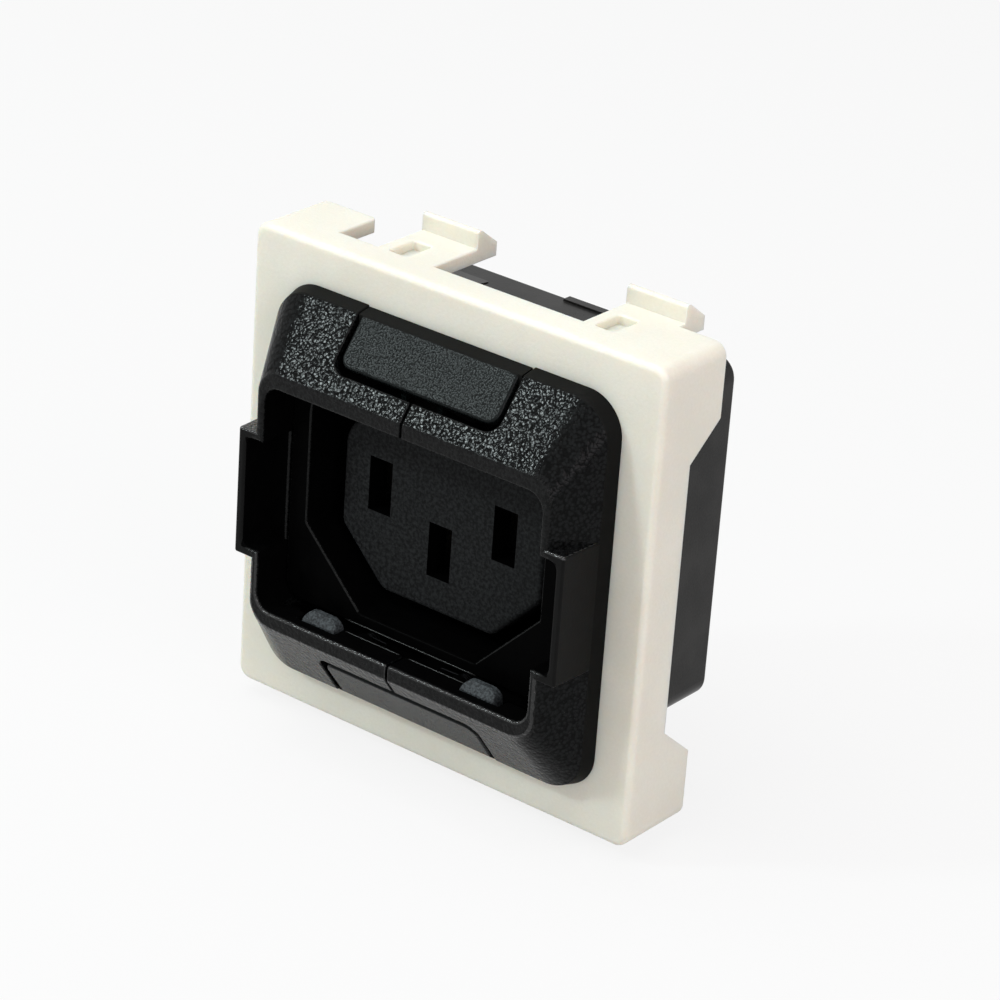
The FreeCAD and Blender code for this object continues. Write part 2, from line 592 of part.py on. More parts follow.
def latch_spring_top_right():
    """Torsion spring round the pin: one leg lifts the latch's inner arm, the other rests on the housing."""
    reach = LATCH_PIVOT_X - PAD_POST_X - SPRING_FOOT_SHIFT
    turn = 2 * math.pi * SPRING_COIL
    room = -FLANGE_THICK - LATCH_BACK - 2 * (SPRING_WIRE + SPRING_PLAY)
    climb = room / (turn * SPRING_TURNS + reach + SPRING_LEG)
    pitch = turn * climb
    length = pitch * SPRING_TURNS
    along = vec(0, 1, climb).normalize()
    start = vec(SPRING_COIL, 0, 0)
    end = vec(SPRING_COIL, 0, length)
    under_arm = start - along * reach
    on_rest = end + along * SPRING_LEG
    coil = Part.makeHelix(pitch, length, SPRING_COIL)
    path = Part.Wire([Part.makeLine(under_arm, start)] + coil.Edges + [Part.makeLine(end, on_rest)])
    ring = Part.Wire(Part.makeCircle(SPRING_WIRE, under_arm, along))
    foot = Part.makeCylinder(SPRING_WIRE, LATCH_THICK, under_arm + along * SPRING_WIRE, vec(0, 0, -1))
    spring = path.makePipeShell([ring], True, True).fuse(foot).Solids[0]
    spring.rotate(vec(0, 0, 0), vec(0, 0, 1), 90)
    spring.rotate(vec(0, 0, 0), vec(1, 0, 0), -90)
    spring = flip_x(spring)
    front = LATCH_BACK + SPRING_PLAY + SPRING_WIRE + climb * reach
    spring.translate(vec(LATCH_PIVOT_X, front, LATCH_PIVOT_Z))
    return spring


def housing_snap_arm():
    """Springy arm in the box's wall whose free end catches behind the frame's plate."""
    root = BOX_END - BOX_WALL + BITE
    free = TOP_DEPTH + SNAP_PLAY
    lift = BOX_HALF_Z + BOX_PLAY + SNAP_LIFT
    outline = [(root, BOX_HALF_Z), (root, BOX_HALF_Z - BOX_WALL), (free, lift - BOX_WALL),
               (free, lift), (free + SNAP_FLAT, lift)]
    return prism_x(outline, SNAP_ARM)


def housing_snap_slot():
    """Slot round a snap arm, through the box's wall."""
    sides = (SNAP_ARM[0] - SNAP_SLOT, SNAP_ARM[1] + SNAP_SLOT)
    return box(sides, (TOP_DEPTH - SNAP_FLAT, BOX_END - BOX_WALL), (BOX_HALF_Z - 2 * BOX_WALL, FAR))


def spring_leg_rest():
    """Small block on the flange that the spring's leg rests on."""
    leg_end = LATCH_PIVOT_X + SPRING_LEG
    depth = (-FLANGE_THICK - LEG_REST_DEPTH, -FLANGE_THICK / 2)
    top = LATCH_PIVOT_Z - SPRING_COIL - SPRING_WIRE - LEG_PLAY
    return box((leg_end + LEG_REST[0], leg_end + LEG_REST[1]), depth, (TUBE_HALF_Z - BITE, top))


def outlet_outline(half_x, half_z, chamfer, corner, key_round, y):
    """Block outline with rounded top corners and slanted, softened bottom corners, between two depths."""
    block = join([slab(half_x, half_z, corner, y), box((-half_x, half_x), y, (-half_z, 0))])
    reach = chamfer + 1
    wedge = prism_y([(half_x + 1, -half_z - 1), (half_x - reach, -half_z - 1), (half_x + 1, reach - half_z)],
                    (y[0] - 1, y[1] + 1))
    block = block.cut(both_x(wedge))
    middle = (y[0] + y[1]) / 2
    return round_edges(block, key_round, lambda p: p.z < -SMALL and abs(p.y - middle) < SMALL)


def housing_walls():
    """The rear box, open at the back, with slots round the snap arms."""
    walls = slab(BOX_HALF_X, BOX_HALF_Z, BOX_CORNER, (-FLANGE_THICK / 2, BOX_END))
    inside = slab(BOX_HALF_X - BOX_WALL, BOX_HALF_Z - BOX_WALL, BOX_CORNER - BOX_WALL, (0, FAR))
    return walls.cut([inside] + four_ways(housing_snap_slot()))


def housing_holes():
    """Holes for the latch pins, the collar's pegs and the cover's screws, and room for a pressed pad."""
    pin_hole = rod(LATCH_PIVOT_X, LATCH_PIVOT_Z, PIN_RADIUS + PRESS_PLAY, (-FAR, PIN_END + PIN_PLAY))
    peg_hole = rod(PEG_X, PEG_Z, PEG_RADIUS + PEG_PLAY, (-FAR, -PEG_PLAY))
    screw_hole = rod(SCREW_X, SCREW_Z, SCREW_RADIUS + PRESS_PLAY, (BOX_END - SCREW_LENGTH, FAR))
    pad_low = slope_z(-COLLAR_BAND_DEPTH, PAD_THICK) - PAD_TRAVEL - PAD_PLAY
    pad_room = box((-WINDOW_HALF - PAD_PLAY, WINDOW_HALF + PAD_PLAY), (-FLANGE_THICK - 1, 0), (pad_low, FAR))
    return both_z(pad_room) + four_ways(pin_hole) + four_ways(peg_hole) + four_ways(screw_hole)


def socket_housing():
    """Flange, shroud tube and rear box in one moulding, with snap arms, screw bosses and pin bosses."""
    flange = slab(FLANGE_HALF, FLANGE_HALF, FLANGE_CORNER, (-FLANGE_THICK, 0))
    tube = slab(TUBE_HALF_X, TUBE_HALF_Z, OPENING_CORNER, (TUBE_FRONT, TUBE_END))
    screw_boss = rod(SCREW_X, SCREW_Z, SCREW_BOSS, (BOX_END - SCREW_LENGTH - BOX_WALL, BOX_END))
    pin_boss = rod(LATCH_PIVOT_X, LATCH_PIVOT_Z, PIN_RADIUS + PIN_BOSS_WALL,
                   (-FLANGE_THICK / 2, PIN_END + PIN_BOSS_WALL / 2))
    body = join([flange, housing_walls(), tube] + four_ways(screw_boss) + four_ways(pin_boss)
                + four_ways(spring_leg_rest()) + four_ways(housing_snap_arm()))
    recess = outlet_outline(RECESS_HALF_X, RECESS_HALF_Z, RECESS_CHAMFER, RECESS_CORNER, RECESS_KEY_ROUND,
                            (TUBE_FRONT - 1, FAR))
    body = body.cut([recess] + housing_holes())
    return round_edges(body, TUBE_EDGE, lambda p: p.y < TUBE_FRONT + SMALL)


def upright(place, width, height, y):
    """Box round a middle given as (X, Z), with its full width and height, between two depths."""
    x, z = place
    return box((x - width / 2, x + width / 2), y, (z - height / 2, z + height / 2))


def socket_core():
    """The block the plug fits over: three slots in front, a chamber behind each and a base at the back."""
    block = outlet_outline(CORE_HALF_X, CORE_HALF_Z, CORE_CHAMFER, CORE_CORNER, CORE_KEY_ROUND,
                           (CORE_FACE, BOX_END - CORE_END_PLAY))
    block = round_edges(block, CORE_EDGE, lambda p: p.y < CORE_FACE + SMALL)
    base_depth = (TUBE_END, BOX_END)
    base = slab(TUBE_HALF_X - CORE_BASE_INSET, TUBE_HALF_Z - CORE_BASE_INSET, OPENING_CORNER, base_depth)
    core = join([block, base])
    for place in POLES.values():
        core = core.cut(upright(place, SLOT_WIDTH, SLOT_HEIGHT, (CORE_FACE - 1, FAR)))
        core = core.cut(upright(place, CHAMBER_WIDTH, CHAMBER_HEIGHT, (CORE_FACE + SLOT_DEPTH, FAR)))
    return core


def contact_leaf(web_y):
    """Bent strip that flares at the mouth, pinches the pin and runs straight back to the web."""
    spread = CHAMBER_WIDTH / 2 - CONTACT_PLAY
    mouth_y = CORE_FACE + SLOT_DEPTH + CONTACT_MOUTH
    outside = [(spread, web_y), (spread, web_y - CONTACT_STRAIGHT),
               (CONTACT_PINCH + CONTACT_SHEET, mouth_y + CONTACT_FLARE), (spread, mouth_y)]
    inside = [(x - CONTACT_SHEET, y) for x, y in reversed(outside)]
    return prism_z(outside + inside, (-CONTACT_HALF_HEIGHT, CONTACT_HALF_HEIGHT))


def contact_tab(web_y):
    """Push-on tab with clipped corners and an eye."""
    half = TAB_WIDTH / 2
    shoulder = TAB_END - TAB_CORNER
    tip = half - TAB_CORNER
    tab = prism_x([(web_y, -half), (shoulder, -half), (TAB_END, -tip), (TAB_END, tip), (shoulder, half),
                   (web_y, half)], (-TAB_THICK / 2, TAB_THICK / 2))
    eye_start = vec(-TAB_THICK, TAB_END - TAB_EYE_FROM_END, 0)
    eye = Part.makeCylinder(TAB_EYE_RADIUS, 2 * TAB_THICK, eye_start, vec(1, 0, 0))
    return tab.cut(eye)


def contact(place):
    """Folded spring contact: two leaves that pinch the plug's pin, a web and a push-on tab."""
    web_y = BOX_END - CONTACT_BACK
    spread = CHAMBER_WIDTH / 2 - CONTACT_PLAY
    web = box((-spread, spread), (web_y - CONTACT_SHEET, web_y + TAB_THICK),
              (-CONTACT_HALF_HEIGHT, CONTACT_HALF_HEIGHT))
    piece = join([web, contact_tab(web_y)] + both_x(contact_leaf(web_y)))
    piece.translate(vec(place[0], 0, place[1]))
    return piece


def screw_head(play):
    """Countersunk head, widened by a play all round."""
    return Part.makeCone(SCREW_RADIUS + play, SCREW_HEAD + play, SCREW_HEAD_DEPTH,
                         vec(SCREW_X, COVER_END - SCREW_HEAD_DEPTH, SCREW_Z), vec(0, 1, 0))


def rear_cover():
    """Plate that closes the box, with slots for the tabs and sunk holes for the screws."""
    plate = slab(BOX_HALF_X, BOX_HALF_Z, BOX_CORNER, (BOX_END, COVER_END))
    plate = round_edges(plate, COVER_EDGE, lambda p: p.y > COVER_END - SMALL)
    lip = box((COVER_LIP_START, SNAP_ARM[1]), (COVER_END - COVER_LIP_DEPTH, COVER_END),
              (BOX_HALF_Z - COVER_THICK, BOX_HALF_Z + COVER_LIP))
    slots = [upright(place, TAB_THICK + 2 * TAB_PLAY, TAB_WIDTH + 2 * TAB_PLAY, (0, FAR))
             for place in POLES.values()]
    screw_hole = rod(SCREW_X, SCREW_Z, SCREW_RADIUS + SCREW_HEAD_PLAY, (0, FAR))
    return join([plate, lip]).cut(slots + four_ways(screw_hole) + four_ways(screw_head(SCREW_HEAD_PLAY)))


def cover_screw():
    """Countersunk screw with a cross recess."""
    depth = (BOX_END - SCREW_LENGTH + SCREW_TIP_PLAY, COVER_END - SCREW_HEAD_DEPTH + SCREW_HEAD_PLAY)
    shank = rod(SCREW_X, SCREW_Z, SCREW_RADIUS, depth)
    recess = (COVER_END - CROSS_DEPTH, FAR)
    across = upright((SCREW_X, SCREW_Z), CROSS_LENGTH, CROSS_WIDTH, recess)
    down = upright((SCREW_X, SCREW_Z), CROSS_WIDTH, CROSS_LENGTH, recess)
    return join([shank, screw_head(0)]).cut([across, down])


def save(name, shape):
    shape.exportStep("parts/" + name + ".step")


def save_four(name, shape):
    """Save a top right piece and its three mirror images."""
    save(name + "_top_right", shape)
    save(name + "_top_left", flip_x(shape))
    save(name + "_bottom_right", flip_z(shape))
    save(name + "_bottom_left", flip_x(flip_z(shape)))


def build():
    whole_collar = collar()
    pad = release_pad_top()
    save("adapter_frame", adapter_frame())
    save("collar_left", collar_half(whole_collar, -1))
    save("collar_right", collar_half(whole_collar, 1))
    save("release_pad_top", pad)
    save("release_pad_bottom", flip_z(pad))
    save_four("latch", latch_top_right())
    save_four("latch_spring", latch_spring_top_right())
    save("latch_pins", Part.makeCompound(four_ways(latch_pin())))
    save("socket_housing", socket_housing())
    save("socket_core", socket_core())
    for name, place in POLES.items():
        save("contact_" + name, contact(place))
    save("rear_cover", rear_cover())
    save("cover_screws", Part.makeCompound(four_ways(cover_screw())))


build()
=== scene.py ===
"""Snap-in power outlet module: finishes, fine pieces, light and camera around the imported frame.

X runs to the right, Z up, and the front looks towards -Y. Places on the module are in millimetres, and
those of the floor, the lamps and the camera are in metres.
"""
import math

import bpy
import numpy as np
from mathutils import Matrix, Vector


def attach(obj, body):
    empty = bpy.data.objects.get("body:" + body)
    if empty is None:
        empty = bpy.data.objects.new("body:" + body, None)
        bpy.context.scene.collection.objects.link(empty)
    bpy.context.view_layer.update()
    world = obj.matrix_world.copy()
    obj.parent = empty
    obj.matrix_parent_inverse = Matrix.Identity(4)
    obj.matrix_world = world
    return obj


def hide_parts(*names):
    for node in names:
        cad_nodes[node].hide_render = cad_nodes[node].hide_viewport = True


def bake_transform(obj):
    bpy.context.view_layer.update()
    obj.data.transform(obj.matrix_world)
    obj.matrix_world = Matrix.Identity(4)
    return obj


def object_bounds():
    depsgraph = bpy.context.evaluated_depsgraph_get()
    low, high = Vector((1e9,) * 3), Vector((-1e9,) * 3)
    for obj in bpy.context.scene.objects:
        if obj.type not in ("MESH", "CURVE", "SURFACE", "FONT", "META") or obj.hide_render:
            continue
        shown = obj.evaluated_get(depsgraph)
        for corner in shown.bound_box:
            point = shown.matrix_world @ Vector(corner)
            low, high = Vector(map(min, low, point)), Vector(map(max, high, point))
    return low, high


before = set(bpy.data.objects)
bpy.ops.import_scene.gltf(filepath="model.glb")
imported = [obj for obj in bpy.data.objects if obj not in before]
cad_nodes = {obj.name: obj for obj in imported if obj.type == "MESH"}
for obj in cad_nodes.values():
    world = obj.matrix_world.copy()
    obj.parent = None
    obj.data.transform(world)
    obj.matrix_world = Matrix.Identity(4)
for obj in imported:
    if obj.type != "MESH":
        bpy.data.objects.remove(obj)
cad_low, cad_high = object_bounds()


# Ivory adapter frame
# The square plate that snaps into the carrier, one moulding of ivory plastic with a satin, lightly
# spark-eroded face. Its hooked tongues and corner flanges come straight out of the same mould.

MM_PER_METRE = 1000.0
IVORY_SHADE = (0.738, 0.718, 0.627)
IVORY_LIGHT = (0.785, 0.765, 0.674)
IVORY_CLOUDS = 0.12          # broad clouds of tone to a millimetre
IVORY_SPECKS = 3.2           # fine specks to a millimetre
IVORY_SPECK_DEPTH = 0.034    # height of the specks
IVORY_GLOW_RADIUS = (1.0, 0.7, 0.5)
IVORY_GLOW_METRES = 0.0018   # how far light spreads inside the plastic


class Value:
    """A shader socket in an expression. Each operator adds one Math node to the tree it belongs to."""

    def __init__(self, nodes, socket):
        self.nodes = nodes
        self.socket = socket

    def math(self, operation, first, second):
        """One Math node on two values or numbers."""
        return self.nodes.node("Math", {"operation": operation}, {0: first, 1: second})

    def __add__(self, other):
        return self.math("ADD", self, other)

    def __radd__(self, other):
        return self.math("ADD", other, self)

    def __sub__(self, other):
        return self.math("SUBTRACT", self, other)

    def __rsub__(self, other):
        return self.math("SUBTRACT", other, self)

    def __mul__(self, other):
        return self.math("MULTIPLY", self, other)

    def __rmul__(self, other):
        return self.math("MULTIPLY", other, self)

    def most(self, other):
        """The larger of two values."""
        return self.math("MAXIMUM", self, other)

    def ease(self, low, high):
        """0 below low, 1 above high, with a smooth change between."""
        span = {"Value": self, "From Min": low, "From Max": high}
        return self.nodes.node("MapRange", {"interpolation_type": "SMOOTHSTEP"}, span)


class Nodes:
    """A node tree, with the one method that adds a node to it."""

    def __init__(self, tree):
        self.tree = tree

    def node(self, kind, settings, inputs, out=0):
        """Adds a node: its settings first, then the values or links of its sockets. Returns one output."""
        made = self.tree.nodes.new("ShaderNode" + kind)
        for key, setting in settings.items():
            setattr(made, key, setting)
        for key, value in inputs.items():
            self.feed(made.inputs[key], value)
        return Value(self, made.outputs[out])

    def feed(self, socket, value):
        """Links a value to a socket, or sets the socket to a number or a colour."""
        if isinstance(value, Value):
            self.tree.links.new(value.socket, socket)
        else:
            socket.default_value = value


class Finish(Nodes):
    """A material with its shader. The place of a surface point is the object's own, in millimetres."""

    def __init__(self, name, specular=0.5, index=1.5):
        self.material = bpy.data.materials.new(name)
        self.material.use_nodes = True
        super().__init__(self.material.node_tree)
        self.shader = self.tree.nodes["Principled BSDF"]
        self.shown(Specular_IOR_Level=specular, IOR=index)
        coords = self.node("TexCoord", {}, {}, "Object")
        self.place = self.node("VectorMath", {"operation": "SCALE"}, {0: coords, "Scale": MM_PER_METRE})

    def shown(self, **sockets):
        """Links or sets the shader's sockets by name, with underscores for spaces."""
        for key, value in sockets.items():
            self.feed(self.shader.inputs[key.replace("_", " ")], value)

    def noise(self, per_mm, detail=2.0, roughness=0.5, where=None):
        """Soft random values about one half, with so many waves to a millimetre."""
        inputs = {"Vector": where or self.place, "Scale": per_mm, "Detail": detail, "Roughness": roughness}
        return self.node("TexNoise", {}, inputs)

    def tone(self, share, first, second):
        """Base colour between two colours. A Mix node's colours are its sockets 6 and 7, the result is 2."""
        inputs = {0: share, 6: (*first, 1), 7: (*second, 1)}
        self.shown(Base_Color=self.node("Mix", {"data_type": "RGBA"}, inputs, 2))

    def relief(self, height, depth):
        """Bumps the surface by a height from 0 to 1 times a depth in millimetres."""
        self.shown(Normal=self.node("Bump", {}, {"Height": height, "Distance": depth / MM_PER_METRE}))


def dress(finish, *names):
    """Gives CAD nodes a finish, in place of the plain one they came with."""
    for name in names:
        cad_nodes[name].data.materials.clear()
        cad_nodes[name].data.materials.append(finish.material)


ivory = Finish("ivory_plastic")
clouds = ivory.noise(IVORY_CLOUDS, detail=3.0)
specks = ivory.noise(IVORY_SPECKS, detail=3.0, roughness=0.6)
mottle = 0.6 * clouds + 0.4 * specks
ivory.tone(mottle.ease(0.35, 0.65), IVORY_SHADE, IVORY_LIGHT)
ivory.shown(Roughness=0.40 + 0.18 * specks, Subsurface_Weight=0.6)
ivory.shown(Subsurface_Radius=IVORY_GLOW_RADIUS, Subsurface_Scale=IVORY_GLOW_METRES)
ivory.relief(specks, IVORY_SPECK_DEPTH)
dress(ivory, "adapter_frame")


# Collar
# Two half shells that meet at a slit, moulded in black plastic and pegged to the housing's flange. The
# slopes have a leather grain, the ears are satin, the skirt is dull and the cavity's walls are smooth and
# coloured darker than the rest, as painted shade. The rim has a fine grain, rubbed shiny along its lower
# edge and on the ears' tops. Where the grain is made of domes, their tops are coloured lighter and their
# valleys darker, as painted light and shade.

LEATHER_DOMES = 3.0          # domes of grain to a millimetre
LEATHER_PULLS = 2.1          # pulls to a millimetre that take the domes out of round
LEATHER_PULL = 0.32          # length of the longest pull
LEATHER_WAVES = 1.7          # slow tilts of the domes to a millimetre
LEATHER_DEPTH = 0.032        # height of the grain
LEATHER_VALLEY_PAINTED_SHADE = (0.0013, 0.0015, 0.0015)
LEATHER_TOP_PAINTED_LIGHT = (0.0076, 0.0084, 0.0086)


def pulled(finish, per_mm, length):
    """Places on the surface, each pulled aside by a soft noise, by up to a length."""
    pull = finish.node("TexNoise", {}, {"Vector": finish.place, "Scale": per_mm, "Detail": 1.0}, "Color")
    inputs = {0: pull, 1: (length, length, length), 2: finish.place}
    return finish.node("VectorMath", {"operation": "MULTIPLY_ADD"}, inputs)


def pebbles(finish, per_mm, where):
    """Leather grain: close-set domes, 1 at each top and falling with the square of the distance from it."""
    distance = finish.node("TexVoronoi", {"feature": "F1"}, {"Vector": where, "Scale": per_mm})
    return 1 - distance * distance


leather = Finish("grained_black", index=1.15)
domes = pebbles(leather, LEATHER_DOMES, pulled(leather, LEATHER_PULLS, LEATHER_PULL))
# Painted light and shade: the domes' tops are coloured lighter and their valleys darker.
leather.tone(domes.ease(0.55, 1.0), LEATHER_VALLEY_PAINTED_SHADE, LEATHER_TOP_PAINTED_LIGHT)
leather.shown(Roughness=0.15 - 0.03 * domes)
leather.relief(domes + 1.1 * leather.noise(LEATHER_WAVES), LEATHER_DEPTH)

EDGING_DOTS = 3.4            # dots to a millimetre
EDGING_DARK = (0.0015, 0.0016, 0.0017)
EDGING_LIGHT = (0.0075, 0.0080, 0.0080)
EDGING_DEPTH = 0.06

edging = Finish("edging_black", specular=0.9, index=1.15)
dots = edging.noise(EDGING_DOTS, roughness=0.6)
edging.tone(dots.ease(0.35, 0.7), EDGING_DARK, EDGING_LIGHT)
edging.shown(Roughness=0.32 - 0.16 * dots)
edging.relief(dots, EDGING_DEPTH)

RUBBED_DOMES = 3.2           # domes to a millimetre
RUBBED_VALLEY_PAINTED_SHADE = (0.0010, 0.0011, 0.0012)
RUBBED_TOP_PAINTED_LIGHT = (0.0060, 0.0066, 0.0068)
RUBBED_DEPTH = 0.08

rubbed = Finish("rubbed_edge", index=1.46)
sparks = pebbles(rubbed, RUBBED_DOMES, rubbed.place)
# Painted light and shade: the domes' tops are coloured lighter and their valleys darker.
rubbed.tone(sparks.ease(0.5, 1.0), RUBBED_VALLEY_PAINTED_SHADE, RUBBED_TOP_PAINTED_LIGHT)
rubbed.shown(Roughness=0.26 - 0.12 * sparks)
rubbed.relief(sparks, RUBBED_DEPTH)

FINE_GRAIN = 4.0             # grains to a millimetre on the ears and the skirt
SATIN_HAZE = 0.5             # soft clouds to a millimetre
SATIN_DARK = (0.0030, 0.0031, 0.0030)
SATIN_LIGHT = (0.0054, 0.0055, 0.0054)
SATIN_DEPTH = 0.012

satin = Finish("satin_black", specular=0.55, index=1.15)
haze = satin.noise(SATIN_HAZE, detail=3.0)
satin.tone(haze, SATIN_DARK, SATIN_LIGHT)
satin.shown(Roughness=0.36 + 0.14 * haze)
satin.relief(satin.noise(FINE_GRAIN), SATIN_DEPTH)

SKIRT_HAZE = 0.4
SKIRT_DARK = (0.0040, 0.0042, 0.0039)
SKIRT_LIGHT = (0.0068, 0.0070, 0.0066)
SKIRT_DEPTH = 0.010

skirt_black = Finish("skirt_black", index=1.11)
drift = skirt_black.noise(SKIRT_HAZE, detail=3.0)
skirt_black.tone(drift, SKIRT_DARK, SKIRT_LIGHT)
skirt_black.shown(Roughness=0.40 + 0.14 * drift)
skirt_black.relief(skirt_black.noise(FINE_GRAIN), SKIRT_DEPTH)

PLAIN_STREAKS = 0.8          # streaks to a millimetre
PLAIN_GRAIN = 5.0
# Painted shade: this black is darker than the satin and the shell, and stands in for the shade in the
# collar's cavity, the block's slots, the housing under the collar and the latches' arms.
PLAIN_PAINTED_SHADE_DARK = (0.0008, 0.0008, 0.0009)
PLAIN_PAINTED_SHADE_LIGHT = (0.0018, 0.0018, 0.0018)
PLAIN_DEPTH = 0.006

plain = Finish("plain_black", index=1.05)
streaks = plain.noise(PLAIN_STREAKS)
plain.tone(streaks, PLAIN_PAINTED_SHADE_DARK, PLAIN_PAINTED_SHADE_LIGHT)
plain.shown(Roughness=0.25 + 0.2 * streaks)
plain.relief(plain.noise(PLAIN_GRAIN), PLAIN_DEPTH)

RIM_FRONT = cad_low.y * MM_PER_METRE
RIM_FLAT = RIM_FRONT + 0.003     # in front of this lies only the rim's flat face
RIM_TURN = RIM_FRONT + 0.125     # front part of the rounding of the rim's edge
RIM_BACK = RIM_FRONT + 0.32      # end of that rounding
LOWER_RIM = -6.0                 # below this the rim is rubbed
SKIRT_FRONT = -1.6               # y where the slopes end and the skirt begins
OPENING_HALF = (15.42, 10.77)    # half width and half height, just outside the walls
POCKET_HALF = (17.31, 5.33)      # the same of the pockets in the ears
STEP_X = (15.39, 15.62)          # rounded step between a pocket and the opening
STEP_Y = (-2.32, -2.08)
STEP_HALF_Z = 5.4
EAR_INSIDE = 16.5                # outside this x lies an ear
EAR_HALF_Z = 6.12                # half height, just outside the top and bottom faces
EAR_SHOULDER = 5.6               # above this an ear's front edge is rubbed
EAR_FLAT = 6.05                  # above this lies only the ear's top face
EAR_TURN = RIM_FRONT + 0.26      # end of the rounding of an ear's edge


def face_centres(obj):
    """Middle of every face of a mesh, in millimetres, as one array."""
    centres = np.zeros(len(obj.data.polygons) * 3)
    obj.data.polygons.foreach_get("center", centres)
    return centres.reshape(-1, 3) * MM_PER_METRE


def zone(obj, finishes, number_of):
    """Gives each face the finish whose number the function works out from the face's middle."""
    obj.data.materials.clear()
    for finish in finishes:
        obj.data.materials.append(finish.material)
    numbers = number_of(*face_centres(obj).T).astype(np.int32)
    obj.data.polygons.foreach_set("material_index", numbers)


def within(values, limits):
    """True where values lie between two limits."""
    return (values > limits[0]) & (values < limits[1])


def collar_zone(x, y, z):
    """Number of the finish on the collar: 0 leather slopes, 1 satin ears, 2 plain cavity, 3 grained rim,
    4 rubbed edges of the lower rim and the ears' tops, 5 skirt."""
    across = abs(x)
    height = abs(z)
    opening = (across < OPENING_HALF[0]) & (height < OPENING_HALF[1])
    pocket = (across < POCKET_HALF[0]) & (height < POCKET_HALF[1])
    step = within(across, STEP_X) & within(y, STEP_Y) & (height < STEP_HALF_Z)
    ear = (across > EAR_INSIDE) & (height < EAR_HALF_Z)
    ear_top = ear & (y > RIM_FLAT) & (z > EAR_SHOULDER) & ((y < EAR_TURN) | (z > EAR_FLAT))
    rim = (y < RIM_BACK) & ~ear
    lower_edge = within(y, (RIM_FLAT, RIM_TURN)) & (z < LOWER_RIM)
    skirt = y > SKIRT_FRONT
    zones = [lower_edge | ear_top, rim | step, opening | pocket, skirt, ear]
    return np.select(zones, [4, 3, 2, 5, 1], 0)


for half in ("collar_left", "collar_right"):
    zone(cad_nodes[half], (leather, satin, plain, edging, rubbed, skirt_black), collar_zone)


# Moulded lines of the collar
# Fine raised lines where the mould parts, one on each half along the back edge of the bottom lip. They are
# the collar's own plastic, and they catch the light as bright hairlines.

LINE_RIPPLES = 1.2           # ripples to a millimetre
LINE_DEPTH = 0.02
LINE_DARK = (0.0015, 0.0016, 0.0017)
LINE_LIGHT = (0.0050, 0.0054, 0.0056)
LINE_RADIUS = 0.09
LINE_RINGS = 30
LINE_SIDES = 12
LINE_TIP = 0.002             # share of the length that is left off at each tip
LINE_STEEPNESS = 24          # the more, the shorter the ends where the line dies away
LIP_LINE = (-3.69, -10.79)   # y and z of the lip's back edge
LIP_LINE_ENDS = {"lip_line_left": (-6.9, -0.4), "lip_line_right": (0.4, 6.9)}

line_black = Finish("moulded_edge", index=1.28)
ripples = line_black.noise(LINE_RIPPLES, detail=3.0)
line_black.tone(ripples, LINE_DARK, LINE_LIGHT)
line_black.shown(Roughness=0.20 + 0.16 * ripples)
line_black.relief(ripples, LINE_DEPTH)


def tube(name, rings, finish):
    """Closed tube through rings of points, an array of rings by points round by x, y, z in millimetres.
    Each four neighbours make a face, and the first and last rings are closed by a flat cap."""
    count, around = rings.shape[:2]
    point = np.arange(around)
    start = np.arange(count - 1)[:, None] * around
    here = start + point
    beside = start + (point + 1) % around
    sides = np.stack([here, beside, beside + around, here + around], axis=-1)
    caps = [point[::-1].tolist(), ((count - 1) * around + point).tolist()]
    points = rings.reshape(-1, 3) / MM_PER_METRE
    mesh = bpy.data.meshes.new(name)
    mesh.from_pydata(points.tolist(), [], sides.reshape(-1, 4).tolist() + caps)
    mesh.polygons.foreach_set("use_smooth", np.ones(len(mesh.polygons), dtype=bool))
    mesh.materials.append(finish.material)
    made = bpy.data.objects.new(name, mesh)
    bpy.context.scene.collection.objects.link(made)
    return made


def moulded_line(name, ends, place):
    """Fine raised line: a circle about (y, z) carried along X from end to end. Its radius follows a steep
    superellipse, so that the line is even along its length and dies away at both ends."""
    along = np.linspace(LINE_TIP, 1 - LINE_TIP, LINE_RINGS)[:, None]
    angle = np.arange(LINE_SIDES) * math.tau / LINE_SIDES
    radius = LINE_RADIUS * np.sqrt(1 - (2 * along - 1) ** LINE_STEEPNESS)
    x = ends[0] + (ends[1] - ends[0]) * along
    y = place[0] + radius * np.cos(angle)
    z = place[1] + radius * np.sin(angle)
    rings = np.stack(np.broadcast_arrays(x, y, z), axis=-1)
    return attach(tube(name, rings, line_black), "module")


for name, ends in LIP_LINE_ENDS.items():
    moulded_line(name, ends, LIP_LINE)


# Release pads
# Two pads let into the top and bottom slopes, held by wings under the collar. They are separate black
# mouldings with a finer grain than the collar's, and their outer ends continue its skirt.

PAD_DOMES = 5.4              # domes to a millimetre
PAD_VALLEY_PAINTED_SHADE = (0.0024, 0.0033, 0.0033)
PAD_TOP_PAINTED_LIGHT = (0.0070, 0.0094, 0.0094)
PAD_WAVES = 0.3              # slow waves to a millimetre
PAD_DEPTH = 0.045

pad = Finish("pad_black", specular=0.62, index=1.15)
pad_domes = pebbles(pad, PAD_DOMES, pad.place)
# Painted light and shade: the domes' tops are coloured lighter and their valleys darker.
pad.tone(pad_domes.ease(0.6, 1.0), PAD_VALLEY_PAINTED_SHADE, PAD_TOP_PAINTED_LIGHT)
pad.shown(Roughness=0.30 - 0.06 * pad_domes)
pad.relief(0.5 * pad_domes + 1.2 * pad.noise(PAD_WAVES), PAD_DEPTH)


def pad_zone(x, y, z):
    """Number of the finish on a pad: 0 grained face, 1 the end that lies in the skirt."""
    return (y > SKIRT_FRONT).astype(int)


for side in ("top", "bottom"):
    zone(cad_nodes["release_pad_" + side], (pad, skirt_black), pad_zone)


